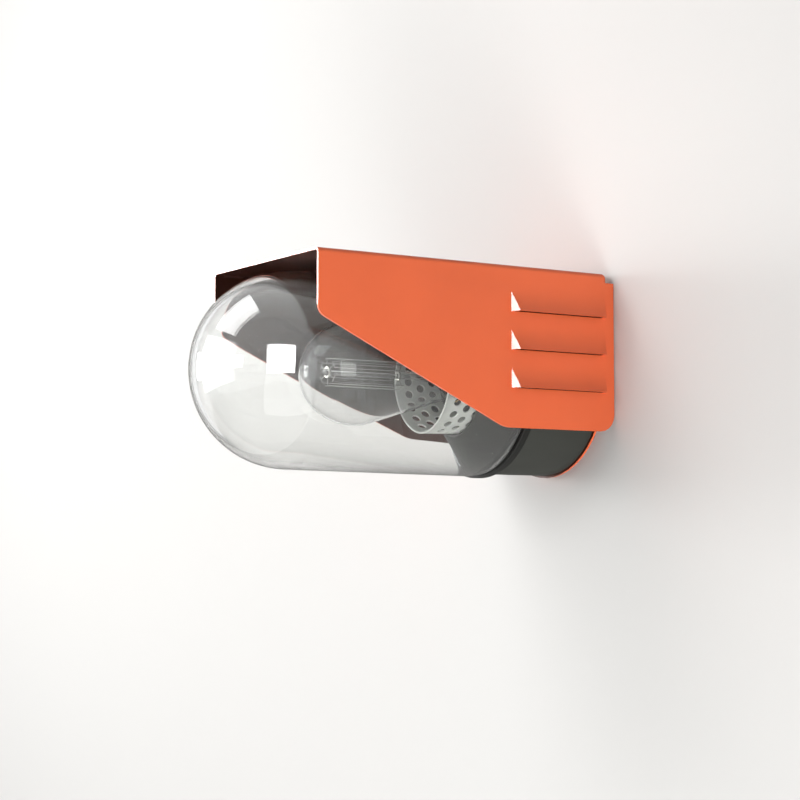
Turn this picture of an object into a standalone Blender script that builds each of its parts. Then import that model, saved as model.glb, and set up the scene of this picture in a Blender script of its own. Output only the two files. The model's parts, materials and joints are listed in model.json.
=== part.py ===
# Wall lamp: a folded sheet hood over a glass dome, with a bulb in a perforated shroud.
# Lengths are in metres. The wall is the plane Y = 0, the lamp points along -Y and +Z is up.
# Pieces are modelled in the lamp's own frame: x to the right, y up and z straight out of the wall.
from math import acos, atan2, cos, degrees, hypot, pi, radians, sin

import bmesh
import bpy
from mathutils import Matrix, Vector

# Fits
GAP = 0.0003                 # between pieces that touch
SCREW_CLEARANCE = 0.0003     # around a screw's shank
SLIDE_CLEARANCE = 0.0006     # between the neck ring and the spigot it slides over

# Hood
SHEET = 0.0015
SIDE_ROOM = 0.0008           # between the neck ring and each side
TOP_ROOM = 0.0017            # between the neck ring and the top
HOOD_REACH = 0.2195          # front edge from the wall
HOOD_BEND = 0.003            # outer radius of the folds
SIDE_HEIGHT = 0.1011
SIDE_BACK = 0.0005           # rear edge of the sides from the wall
FRONT_EDGE = 0.0386          # height of the upright front edge
FRONT_CORNER = 0.008
BELLY_CORNER = 0.018
BELLY_REACH = 0.086          # foot of the sloping edge from the wall
REAR_CORNER = 0.011
NOTCH_DROP = 0.006           # relief notch below the top at the rear
BACK_MARGIN = 0.0014         # the back panel's round foot beyond the base

# Louvres
LOUVRE_COUNT = 3
LOUVRE_PITCH = 0.0238
LOUVRE_DROP = 0.0147         # first louvre below the top
LOUVRE_HEIGHT = 0.0141
LOUVRE_PUSH = 0.0058
LOUVRE_START = 0.0075
LOUVRE_END = 0.0815
LOUVRE_TAPER = 0.0033        # slope of the closed ends

# Wall bracket and the screws into it
BRACKET_EDGE = 0.0065        # metal outside the wall slots
BRACKET_THICK = 0.004
SLOT_SPACING = 0.072
SLOT_WIDTH = 0.005
SLOT_LENGTH = 0.010
FIXING_COUNT = 3
FIXING_RADIUS = 0.030
FIXING_SHANK = 0.0018
FIXING_HEAD = 0.004
FIXING_HEAD_TALL = 0.0026

# Base housing
RING_STEP = 0.0026           # the neck ring stands this much proud of the base
BASE_WALL = 0.0031
BASE_FLOOR = 0.004
BASE_LENGTH = 0.0489
SPIGOT_WALL = 0.003
SPIGOT_LENGTH = 0.011

# Conical cover on the spigot, with a well for the shroud
COVER_THICK = 0.002
WELL_DROP = 0.015            # the well's floor below the spigot's end
COVER_EDGE = 0.0005          # upright edge at the cone's foot
COVER_LIP = 0.0015           # flat lip round the well
COVER_WINDOW = 0.012
SKIRT = 0.0085               # depth of the cover in the spigot
COVER_SCREW_COUNT = 3
COVER_SCREW_RADIUS = 0.0015
COVER_SCREW_DROP = 0.005     # grub screws below the spigot's end

# Glass, its neck ring and gasket
RIM_RADIUS = 0.0622          # the glass at its open end
RIM_WALL = 0.0031
GLASS_STRAIGHT = 0.1393      # from the open end to the round end
DOME_TAPER = 0.0012          # the round end is this much smaller in radius
DOME_WALL = 0.004
DOME_STEPS = 9
RING_LIP = 0.001             # the neck ring stands this much proud of the glass
RING_FLANGE = 0.0052
RING_COLLAR = 0.0015
COLLAR_WALL = 0.0042
GASKET_THICK = 0.0015

# Perforated shroud
SHROUD_FRONT = 0.0343
SHROUD_REAR = 0.0315
SHROUD_LENGTH = 0.0579
SHROUD_SHEET = 0.0008
HOLE_ROWS = 3
HOLES_PER_ROW = 24
HOLE_RADIUS = 0.0027
ROW_PITCH = 0.008
FIRST_ROW = 0.0091           # first row of holes behind the front rim

# Lampholder
HOLDER_RADIUS = 0.0205
HOLDER_LENGTH = 0.034
HOLDER_FLOOR = 0.0105
SHELL_LENGTH = 0.0195
SHELL_WALL = 0.0006
HOLDER_SHANK = 0.0015
HOLDER_HEAD = 0.003
HOLDER_HEAD_TALL = 0.0024
HOLDER_SCREW_BITE = 0.006
CONTACT_STRIP = 0.0006
CONTACT_WIDTH = 0.006
CONTACT_SPAN = 0.016
CONTACT_RISE = 0.0008

# Bulb
CAP_RADIUS = 0.0132
CAP_LENGTH = 0.021
CAP_WALL = 0.0011
THREAD_DEPTH = 0.0006
THREAD_PITCH = 0.00362
THREAD_TURNS = 4
TIP_RADIUS = 0.0045
TIP_THICK = 0.0008
TIP_STEM = 0.0009
INSULATOR_TALL = 0.0024
BULB_RADIUS = 0.0322
BULB_LENGTH = 0.125
BULB_WALL = 0.0009
HEAD_STEPS = 12
NECK_CLEARANCE = 0.0004      # around the neck in the cap
NECK_IN_CAP = 0.010
STEM_FLARE = 0.008
STEM_ROD = 0.0013
STEM_WAIST = 0.00325
STEM_NECK = 0.0037           # thin rod behind the cage
HUB_RADIUS = 0.0022
HUB_BEHIND_TIP = 0.015       # hub of the filament's mount behind the bulb's front
CAGE_LENGTH = 0.0485
CAGE_RADIUS = 0.0088
CAGE_LEGS = 12
WIRE_RADIUS = 0.00025
BEAD_RADIUS = 0.0006

# Wiring
GROMMET_DROP = 0.028
GROMMET_BORE = 0.0035
GROMMET_BODY = 0.0067
GROMMET_FLANGE = 0.0095
GROMMET_FLANGE_TALL = 0.002
BLOCK_ENDS = 0.003           # block beyond its outer ways
BLOCK_CORNER = 0.0009
BLOCK_TALL = 0.014
BLOCK_DEPTH = 0.013
BLOCK_RISE = 0.012
WAY_COUNT = 3
WAY_PITCH = 0.009
WAY_SCREW_RADIUS = 0.0022
WAY_SCREW_TALL = 0.004
LEAD_RADIUS = 0.0011
LEAD_STRAIGHT = 0.005
LEAD_SPREAD = 0.005
EARTH_X = -0.033
EARTH_Y = 0.004
EARTH_RADIUS = 0.0035
EARTH_TALL = 0.003
EARTH_SHANK = 0.0016

# Pan head: the flat crown and the upright side, as shares of the head
HEAD_CROWN = 0.75
HEAD_SIDE = 0.55

ROUND_STEPS = 48
SMALL_STEPS = 24
SCREW_STEPS = 12

# Levels along the lamp's axis, out from the wall
BACK_REAR = BRACKET_THICK + GAP
BACK_FRONT = BACK_REAR + SHEET
BASE_REAR = BACK_FRONT + GAP
FLOOR_TOP = BASE_REAR + BASE_FLOOR
SHOULDER = BASE_REAR + BASE_LENGTH
SPIGOT_END = SHOULDER + SPIGOT_LENGTH
COVER_REAR = SPIGOT_END + GAP
COVER_FRONT = COVER_REAR - WELL_DROP
PLATE_REAR = COVER_FRONT - COVER_THICK
GRUB_LEVEL = SPIGOT_END - COVER_SCREW_DROP
GASKET_REAR = SHOULDER + GAP
RING_REAR = GASKET_REAR + GASKET_THICK + GAP
RING_FRONT = RING_REAR + RING_FLANGE
GLASS_REAR = RING_FRONT + GAP
DOME_CENTRE = GLASS_REAR + GLASS_STRAIGHT
SHROUD_BACK = COVER_FRONT + GAP
SHROUD_FLOOR = SHROUD_BACK + SHROUD_SHEET
SHROUD_RIM = SHROUD_BACK + SHROUD_LENGTH
HOLDER_BACK = SHROUD_FLOOR + GAP
HOLDER_RIM = HOLDER_BACK + HOLDER_LENGTH
SOCKET_FLOOR = HOLDER_BACK + HOLDER_FLOOR
CONTACT_TOP = SOCKET_FLOOR + GAP + CONTACT_RISE + CONTACT_STRIP
TIP_REAR = CONTACT_TOP + GAP
INSULATOR_REAR = TIP_REAR + TIP_THICK + GAP
CAP_REAR = INSULATOR_REAR + INSULATOR_TALL + GAP
CAP_FRONT = CAP_REAR + CAP_LENGTH
BULB_FRONT = TIP_REAR + BULB_LENGTH
BULB_CENTRE = BULB_FRONT - BULB_RADIUS
NECK_REAR = CAP_FRONT - NECK_IN_CAP
HUB = BULB_FRONT - HUB_BEHIND_TIP
CAGE_REAR = HUB - CAGE_LENGTH

# Radii that follow from what they fit
RING_RADIUS = RIM_RADIUS + RING_LIP
DOME_RADIUS = RIM_RADIUS - DOME_TAPER
COLLAR_RADIUS = RIM_RADIUS - RIM_WALL - GAP
RING_BORE = COLLAR_RADIUS - COLLAR_WALL
SPIGOT_RADIUS = RING_BORE - SLIDE_CLEARANCE
BASE_RADIUS = RING_RADIUS - RING_STEP
BACK_RADIUS = BASE_RADIUS + BACK_MARGIN
BRACKET_RADIUS = SLOT_SPACING / 2 + SLOT_WIDTH / 2 + BRACKET_EDGE
SHELL_OUTER = CAP_RADIUS + GAP + SHELL_WALL
SOCKET_BORE = SHELL_OUTER + GAP
HOLDER_SCREW_CIRCLE = (SOCKET_BORE + HOLDER_RADIUS) / 2
SPIGOT_BORE = SPIGOT_RADIUS - SPIGOT_WALL
WELL_DEPTH = SPIGOT_RADIUS + COVER_EDGE + WELL_DROP - SHROUD_REAR - COVER_LIP
WELL_RADIUS = SHROUD_REAR + (SHROUD_FRONT - SHROUD_REAR) * WELL_DEPTH / SHROUD_LENGTH + GAP
CAP_BORE = CAP_RADIUS - CAP_WALL
NECK_RADIUS = CAP_BORE - NECK_CLEARANCE
INNER_SIDE = RING_RADIUS + SIDE_ROOM
HOOD_WIDTH = 2 * (INNER_SIDE + SHEET)
HOOD_RISE = RING_RADIUS + TOP_ROOM + SHEET    # outer top above the lamp's axis
SIDE_FOOT = HOOD_RISE - SIDE_HEIGHT
BLOCK_WIDTH = WAY_COUNT * WAY_PITCH + BLOCK_ENDS

for old in list(bpy.data.objects):
    bpy.data.objects.remove(old, do_unlink=True)

parts = bpy.data.collections.new("wall_lamp")
cutters = bpy.data.collections.new("cutters")
bpy.context.scene.collection.children.link(parts)
bpy.context.scene.collection.children.link(cutters)


def finish(name, colour, roughness, metallic=0.0, transmission=0.0):
    material = bpy.data.materials.new(name)
    material.use_nodes = True
    shader = material.node_tree.nodes["Principled BSDF"]
    shader.inputs["Base Color"].default_value = (*colour, 1.0)
    shader.inputs["Roughness"].default_value = roughness
    shader.inputs["Metallic"].default_value = metallic
    shader.inputs["Transmission Weight"].default_value = transmission
    return material


ORANGE = finish("orange_powder_coat", (0.80, 0.17, 0.07), 0.4)
DARK_GREY = finish("dark_grey_powder_coat", (0.06, 0.062, 0.055), 0.5)
ZINC = finish("zinc_plated_steel", (0.6, 0.6, 0.58), 0.35, 1.0)
PALE_STEEL = finish("pale_painted_steel", (0.55, 0.58, 0.54), 0.4)
CLEAR_GLASS = finish("clear_glass", (1.0, 1.0, 1.0), 0.02, 0.0, 1.0)
RUBBER = finish("black_silicone", (0.02, 0.02, 0.02), 0.7)
PORCELAIN = finish("dark_porcelain", (0.07, 0.07, 0.062), 0.2)
BRASS = finish("brass", (0.75, 0.55, 0.25), 0.3, 1.0)
NICKEL = finish("nickel_plate", (0.7, 0.69, 0.66), 0.25, 1.0)
VITRITE = finish("black_cap_glass", (0.01, 0.01, 0.012), 0.15)
SOLDER = finish("solder", (0.6, 0.6, 0.6), 0.4, 1.0)
TUNGSTEN = finish("tungsten", (0.45, 0.43, 0.4), 0.4, 1.0)
WHITE_PLASTIC = finish("white_nylon", (0.8, 0.8, 0.78), 0.5)
BROWN_LEAD = finish("brown_lead", (0.12, 0.05, 0.02), 0.5)
BLUE_LEAD = finish("blue_lead", (0.03, 0.12, 0.4), 0.5)
GREEN_LEAD = finish("green_lead", (0.1, 0.35, 0.08), 0.5)


def axis_empty(name, parent=None):
    empty = bpy.data.objects.new(name, None)
    parts.objects.link(empty)
    empty.parent = parent
    return empty


# The lamp's frame stands on the wall, and the glass and the bulb turn on the same axis.
lamp_axis = axis_empty("lamp_axis")
lamp_axis.rotation_euler = (pi / 2, 0, 0)
glass_axis = axis_empty("glass_axis", lamp_axis)
bulb_axis = axis_empty("bulb_axis", lamp_axis)


def piece(name, mesh, material, axis=lamp_axis):
    obj = bpy.data.objects.new(name, mesh)
    parts.objects.link(obj)
    obj.parent = axis
    mesh.materials.append(material)
    mesh.shade_smooth()
    mesh.set_sharp_from_angle(angle=radians(35))
    return obj


def cutter(name, mesh):
    obj = bpy.data.objects.new(name, mesh)
    cutters.objects.link(obj)
    obj.parent = lamp_axis
    obj.hide_render = True
    obj.display_type = "WIRE"
    return obj


def boolean(obj, other, operation):
    step = obj.modifiers.new(other.name, "BOOLEAN")
    step.operation = operation
    step.object = other
    step.solver = "EXACT"


def mesh_of(obj):
    # The evaluated shape as a plain mesh with its loose caps welded. The source object goes.
    obj.update_tag()
    graph = bpy.context.evaluated_depsgraph_get()
    mesh = bpy.data.meshes.new_from_object(obj.evaluated_get(graph))
    shape = bmesh.new()
    shape.from_mesh(mesh)
    bmesh.ops.remove_doubles(shape, verts=shape.verts, dist=1e-6)
    bmesh.ops.recalc_face_normals(shape, faces=shape.faces)
    shape.to_mesh(mesh)
    shape.free()
    bpy.data.objects.remove(obj)
    return mesh


def arc(centre, radius, start, end, steps):
    angles = [radians(start + (end - start) * i / steps) for i in range(steps + 1)]
    return [(centre[0] + radius * cos(a), centre[1] + radius * sin(a)) for a in angles]


def ring_points(radius, steps, centre=(0, 0)):
    return arc(centre, radius, 0, 360 - 360 / steps, steps - 1)


def rounded(corners, steps=5):
    # A closed outline from corners given as (x, y, radius).
    outline = []
    for i, (x, y, radius) in enumerate(corners):
        here = Vector((x, y))
        if radius == 0:
            outline.append((x, y))
            continue
        back = (Vector(corners[i - 1][:2]) - here).normalized()
        ahead = (Vector(corners[(i + 1) % len(corners)][:2]) - here).normalized()
        half = acos(max(-1, min(1, back.dot(ahead)))) / 2
        centre = here + (back + ahead).normalized() * radius / sin(half)
        sweep = pi / 2 - half
        towards = (here - centre).normalized()
        turn = 1 if back.x * ahead.y - back.y * ahead.x < 0 else -1
        for k in range(steps + 1):
            spoke = Matrix.Rotation(turn * sweep * (2 * k / steps - 1), 2) @ towards
            outline.append(tuple(centre + spoke * radius))
    return outline


def plate(outlines, low, high, frame=Matrix.Identity(4)):
    # A flat outline, with any holes, filled between two levels.
    curve = bpy.data.curves.new("outline", "CURVE")
    curve.dimensions = "2D"
    curve.fill_mode = "BOTH"
    curve.extrude = (high - low) / 2
    for outline in outlines:
        spline = curve.splines.new("POLY")
        spline.points.add(len(outline) - 1)
        for point, (x, y) in zip(spline.points, outline):
            point.co = (x, y, 0, 1)
        spline.use_cyclic_u = True
    obj = bpy.data.objects.new("outline", curve)
    cutters.objects.link(obj)
    mesh = mesh_of(obj)
    mesh.transform(frame @ Matrix.Translation((0, 0, (low + high) / 2)))
    return mesh


# Outlines drawn as (out from the wall, up) turn into the lamp's frame by this.
SIDEWAYS = Matrix(((0, 0, -1, 0), (0, 1, 0, 0), (1, 0, 0, 0), (0, 0, 0, 1)))


def turned(profile, steps, closed):
    # A profile of (radius, level) points turned about the lamp's axis, its outer side running down.
    mesh = bpy.data.meshes.new("profile")
    count = len(profile)
    edges = [(i, i + 1) for i in range(count - 1)]
    if closed:
        edges.append((count - 1, 0))
    mesh.from_pydata([(r, 0, z) for r, z in profile], edges, [])
    obj = bpy.data.objects.new("profile", mesh)
    cutters.objects.link(obj)
    screw = obj.modifiers.new("turn", "SCREW")
    screw.axis = "Z"
    screw.steps = steps
    screw.render_steps = steps
    screw.use_merge_vertices = True
    screw.merge_threshold = 1e-6
    return mesh_of(obj)


def tube_ring(inner, outer, low, high, steps):
    return turned([(inner, high), (outer, high), (outer, low), (inner, low)], steps, True)


def rod(radius, low, high, steps, centre=(0, 0)):
    shape = bmesh.new()
    place = Matrix.Translation((*centre, (low + high) / 2))
    bmesh.ops.create_cone(shape, cap_ends=True, segments=steps, radius1=radius, radius2=radius,
                          depth=high - low, matrix=place)
    mesh = bpy.data.meshes.new("rod")
    shape.to_mesh(mesh)
    shape.free()
    return mesh


def joined(meshes):
    shape = bmesh.new()
    for mesh in meshes:
        shape.from_mesh(mesh)
    result = bpy.data.meshes.new("joined")
    shape.to_mesh(result)
    shape.free()
    return result


def hull(points):
    shape = bmesh.new()
    for point in points:
        shape.verts.new(point)
    bmesh.ops.convex_hull(shape, input=shape.verts)
    bmesh.ops.recalc_face_normals(shape, faces=shape.faces)
    mesh = bpy.data.meshes.new("hull")
    shape.to_mesh(mesh)
    shape.free()
    return mesh


def wire(points, radius):
    curve = bpy.data.curves.new("wire", "CURVE")
    curve.dimensions = "3D"
    curve.bevel_depth = radius
    curve.bevel_resolution = 1
    curve.use_fill_caps = True
    spline = curve.splines.new("POLY")
    spline.points.add(len(points) - 1)
    for point, place in zip(spline.points, points):
        point.co = (*place, 1)
    obj = bpy.data.objects.new("wire", curve)
    cutters.objects.link(obj)
    return mesh_of(obj)


def pan_screw(centre, head, tall, shank, seat, tip, outward=1):
    # A screw whose head stands on a seat, with its shank running to the tip.
    length = abs(seat - tip)
    profile = [(0, tall), (head * HEAD_CROWN, tall), (head, tall * HEAD_SIDE), (head, 0),
               (shank, 0), (shank, -length), (0, -length)]
    mesh = turned(profile, SCREW_STEPS, False)
    flip = Matrix.Identity(4) if outward > 0 else Matrix.Rotation(pi, 4, "X")
    mesh.transform(Matrix.Translation((*centre, seat)) @ flip)
    return mesh


def spaced(count, radius, first=90):
    return [(radius * cos(radians(first + 360 * i / count)),
             radius * sin(radians(first + 360 * i / count))) for i in range(count)]


FIXINGS = spaced(FIXING_COUNT, FIXING_RADIUS)
HOLDER_SCREWS = [(-HOLDER_SCREW_CIRCLE, 0), (HOLDER_SCREW_CIRCLE, 0)]
CABLE_ENTRY = (0, -GROMMET_DROP)


def fixing_holes():
    holes = [ring_points(FIXING_SHANK + SCREW_CLEARANCE, SCREW_STEPS, at) for at in FIXINGS]
    return holes + [ring_points(GROMMET_BODY + GAP, SMALL_STEPS, CABLE_ENTRY)]


def louvre_wedge(side, top, inset):
    # The outside of one louvre, or, with an inset of the sheet's thickness, the space behind it.
    foot = top - LOUVRE_HEIGHT
    if inset:
        root = HOOD_WIDTH / 2 - 2 * SHEET
        lip = HOOD_WIDTH / 2 + LOUVRE_PUSH - inset * hypot(LOUVRE_PUSH, LOUVRE_HEIGHT) / LOUVRE_HEIGHT
        foot -= GAP / 10
    else:
        root = HOOD_WIDTH / 2 - SHEET / 2
        lip = HOOD_WIDTH / 2 + LOUVRE_PUSH
    start = LOUVRE_START + inset
    end = LOUVRE_END - inset
    points = [(side * root, y, z) for y in (top, foot) for z in (start, end)]
    points += [(side * lip, foot, z) for z in (start + LOUVRE_TAPER, end - LOUVRE_TAPER)]
    return hull(points)


def make_hood():
    half = HOOD_WIDTH / 2
    below = SIDE_FOOT - SHEET
    fold = rounded([(-half, below, 0), (-half, HOOD_RISE, HOOD_BEND), (half, HOOD_RISE, HOOD_BEND),
                    (half, below, 0), (INNER_SIDE, below, 0),
                    (INNER_SIDE, HOOD_RISE - SHEET, HOOD_BEND - SHEET),
                    (-INNER_SIDE, HOOD_RISE - SHEET, HOOD_BEND - SHEET), (-INNER_SIDE, below, 0)])
    hood = piece("hood", plate([fold], 0, HOOD_REACH + SHEET), ORANGE)

    # The sides' outline, seen from the side, trims the folded channel.
    above = HOOD_RISE + HOOD_BEND
    notch_front = BACK_REAR + HOOD_BEND + SHEET / 2
    outline = rounded([(HOOD_REACH, above, 0), (notch_front, above, 0),
                       (notch_front, HOOD_RISE - NOTCH_DROP, 0), (SIDE_BACK, HOOD_RISE - NOTCH_DROP, 0),
                       (SIDE_BACK, SIDE_FOOT, REAR_CORNER), (BELLY_REACH, SIDE_FOOT, BELLY_CORNER),
                       (HOOD_REACH, HOOD_RISE - FRONT_EDGE, FRONT_CORNER)])
    boolean(hood, cutter("side_outline", plate([outline], -HOOD_WIDTH, HOOD_WIDTH, SIDEWAYS)), "INTERSECT")

    # The back panel folds down from the top and ends in a round foot behind the base.
    bend = rounded([(notch_front + SHEET, HOOD_RISE, 0), (BACK_REAR, HOOD_RISE, HOOD_BEND),
                    (BACK_REAR, -BASE_RADIUS - BACK_RADIUS, 0), (BACK_FRONT, -BASE_RADIUS - BACK_RADIUS, 0),
                    (BACK_FRONT, HOOD_RISE - SHEET, HOOD_BEND - SHEET),
                    (notch_front + SHEET, HOOD_RISE - SHEET, 0)])
    back = cutter("back_panel", plate([bend], -BACK_RADIUS, BACK_RADIUS, SIDEWAYS))
    foot = arc((0, 0), BACK_RADIUS, 180, 360, ROUND_STEPS // 2)
    panel = foot + [(BACK_RADIUS, HOOD_RISE + SHEET), (-BACK_RADIUS, HOOD_RISE + SHEET)]
    shape = cutter("back_outline", plate([panel] + fixing_holes(), 0, 2 * notch_front))
    boolean(back, shape, "INTERSECT")
    boolean(hood, back, "UNION")

    tops = [HOOD_RISE - LOUVRE_DROP - i * LOUVRE_PITCH for i in range(LOUVRE_COUNT)]
    for label, inset, operation in (("louvres", 0, "UNION"), ("louvre_slots", SHEET, "DIFFERENCE")):
        wedges = [louvre_wedge(side, top, inset) for side in (-1, 1) for top in tops]
        boolean(hood, cutter(label, joined(wedges)), operation)


def make_wall_bracket():
    slot_end = (SLOT_LENGTH - SLOT_WIDTH) / 2
    holes = fixing_holes()
    for x in (-SLOT_SPACING / 2, SLOT_SPACING / 2):
        upper = arc((x, slot_end), SLOT_WIDTH / 2, 0, 180, SCREW_STEPS // 2)
        lower = arc((x, -slot_end), SLOT_WIDTH / 2, 180, 360, SCREW_STEPS // 2)
        holes.append(upper + lower)
    disc = ring_points(BRACKET_RADIUS, ROUND_STEPS)
    piece("wall_bracket", plate([disc] + holes, 0, BRACKET_THICK), ZINC)
    for i, at in enumerate(FIXINGS, 1):
        screw = pan_screw(at, FIXING_HEAD, FIXING_HEAD_TALL, FIXING_SHANK, FLOOR_TOP + GAP, GAP)
        piece(f"fixing_screw_{i}", screw, ZINC)


def grub_rods(radius, inner, outer):
    # Rods that stand out from the axis, where the cover's grub screws are.
    rods = []
    for i in range(COVER_SCREW_COUNT):
        rods.append(rod(radius, inner, outer, SCREW_STEPS))
        around = Matrix.Rotation(pi / 2 + 2 * pi * i / COVER_SCREW_COUNT, 4, "Z")
        outwards = Matrix.Rotation(pi / 2, 4, "Y")
        rods[-1].transform(Matrix.Translation((0, 0, GRUB_LEVEL)) @ around @ outwards)
    return rods


def make_base():
    inner = BASE_RADIUS - BASE_WALL
    ledge = SHOULDER - BASE_WALL
    profile = [(0, FLOOR_TOP), (inner, FLOOR_TOP), (inner, ledge), (SPIGOT_BORE, ledge),
               (SPIGOT_BORE, SPIGOT_END), (SPIGOT_RADIUS, SPIGOT_END), (SPIGOT_RADIUS, SHOULDER),
               (BASE_RADIUS, SHOULDER), (BASE_RADIUS, BASE_REAR), (0, BASE_REAR)]
    base = piece("base_housing", turned(profile, ROUND_STEPS, False), DARK_GREY)
    grub_hole = COVER_SCREW_RADIUS + SCREW_CLEARANCE
    holes = grub_rods(grub_hole, SPIGOT_BORE - SPIGOT_WALL, SPIGOT_RADIUS + SPIGOT_WALL)
    through = (BASE_REAR - GAP, FLOOR_TOP + GAP)
    holes += [rod(FIXING_SHANK + SCREW_CLEARANCE, *through, SCREW_STEPS, at) for at in FIXINGS]
    holes.append(rod(GROMMET_BODY + GAP, *through, SMALL_STEPS, CABLE_ENTRY))
    earth_low = FLOOR_TOP - BASE_FLOOR / 2
    earth_hole = EARTH_SHANK + SCREW_CLEARANCE
    holes.append(rod(earth_hole, earth_low, FLOOR_TOP + GAP, SCREW_STEPS, (EARTH_X, EARTH_Y)))
    boolean(base, cutter("base_holes", joined(holes)), "DIFFERENCE")


def make_cover():
    # A cone rises from the spigot to a lip round the well that the shroud stands in.
    skirt = SPIGOT_BORE - GAP
    skirt_bore = skirt - COVER_THICK
    skirt_end = SPIGOT_END - SKIRT
    well_wall = WELL_RADIUS + COVER_THICK
    lip = WELL_RADIUS + COVER_LIP
    lip_top = COVER_REAR + COVER_EDGE + SPIGOT_RADIUS - lip
    under = COVER_REAR + COVER_EDGE + SPIGOT_RADIUS - COVER_THICK * 2 ** 0.5
    profile = [(WELL_RADIUS, lip_top), (lip, lip_top), (SPIGOT_RADIUS, COVER_REAR + COVER_EDGE),
               (SPIGOT_RADIUS, COVER_REAR), (skirt, COVER_REAR), (skirt, skirt_end), (skirt_bore, skirt_end),
               (skirt_bore, under - skirt_bore), (well_wall, under - well_wall), (well_wall, PLATE_REAR),
               (WELL_RADIUS, PLATE_REAR)]
    cover = piece("housing_cover", turned(profile, ROUND_STEPS, True), DARK_GREY)
    holes = grub_rods(COVER_SCREW_RADIUS + SCREW_CLEARANCE, skirt_bore - COVER_THICK, SPIGOT_RADIUS)
    boolean(cover, cutter("cover_holes", joined(holes)), "DIFFERENCE")
    grubs = grub_rods(COVER_SCREW_RADIUS, skirt_bore, SPIGOT_RADIUS - GAP)
    for i, screw in enumerate(grubs, 1):
        piece(f"cover_screw_{i}", screw, ZINC)

    # The well's floor is a disc pressed into its foot, with a window for the leads.
    disc = tube_ring(COVER_WINDOW, WELL_RADIUS - GAP, PLATE_REAR, COVER_FRONT, ROUND_STEPS)
    floor = piece("well_floor", disc, DARK_GREY)
    reach = (PLATE_REAR - GAP, COVER_FRONT + GAP)
    shanks = [rod(HOLDER_SHANK + SCREW_CLEARANCE, *reach, SCREW_STEPS, at) for at in HOLDER_SCREWS]
    boolean(floor, cutter("floor_holes", joined(shanks)), "DIFFERENCE")


def make_glass():
    gasket = tube_ring(RING_BORE, BASE_RADIUS - GAP, GASKET_REAR, GASKET_REAR + GASKET_THICK, ROUND_STEPS)
    piece("neck_gasket", gasket, RUBBER, glass_axis)
    collar_end = RING_FRONT + RING_COLLAR
    profile = [(RING_BORE, collar_end), (COLLAR_RADIUS, collar_end), (COLLAR_RADIUS, RING_FRONT),
               (RING_RADIUS, RING_FRONT), (RING_RADIUS, RING_REAR), (RING_BORE, RING_REAR)]
    piece("neck_ring", turned(profile, ROUND_STEPS, True), DARK_GREY, glass_axis)

    # A slightly tapered tube with a round end, open at the neck.
    centre = (0, DOME_CENTRE)
    outer = arc(centre, DOME_RADIUS, 90, 0, DOME_STEPS) + [(RIM_RADIUS, GLASS_REAR)]
    inner = [(RIM_RADIUS - RIM_WALL, GLASS_REAR)]
    inner += arc(centre, DOME_RADIUS - DOME_WALL, 0, 90, DOME_STEPS)
    profile = [(max(r, 0), z) for r, z in outer + inner]
    profile[0] = (0, profile[0][1])
    profile[-1] = (0, profile[-1][1])
    piece("glass_dome", turned(profile, ROUND_STEPS, False), CLEAR_GLASS, glass_axis)


def make_shroud():
    wall = SHROUD_SHEET
    profile = [(COVER_WINDOW, SHROUD_FLOOR), (SHROUD_REAR - wall, SHROUD_FLOOR),
               (SHROUD_FRONT - wall, SHROUD_RIM), (SHROUD_FRONT, SHROUD_RIM),
               (SHROUD_REAR, SHROUD_BACK), (COVER_WINDOW, SHROUD_BACK)]
    shroud = piece("socket_shroud", turned(profile, SMALL_STEPS, True), PALE_STEEL)
    punches = []
    middle = (SHROUD_FRONT + SHROUD_REAR) / 2
    for row in range(HOLE_ROWS):
        level = SHROUD_RIM - FIRST_ROW - row * ROW_PITCH
        for i in range(HOLES_PER_ROW):
            turn = 2 * pi * (i + 0.5 * (row % 2)) / HOLES_PER_ROW
            punch = rod(HOLE_RADIUS, middle - 5 * wall, middle + 5 * wall, 8)
            punch.transform(Matrix.Rotation(turn, 4, "Z") @ Matrix.Translation((0, 0, level))
                            @ Matrix.Rotation(pi / 2, 4, "Y"))
            punches.append(punch)
    for at in HOLDER_SCREWS:
        reach = (SHROUD_BACK - GAP, SHROUD_FLOOR + GAP)
        punches.append(rod(HOLDER_SHANK + SCREW_CLEARANCE, *reach, SCREW_STEPS, at))
    boolean(shroud, cutter("shroud_holes", joined(punches)), "DIFFERENCE")


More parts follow.
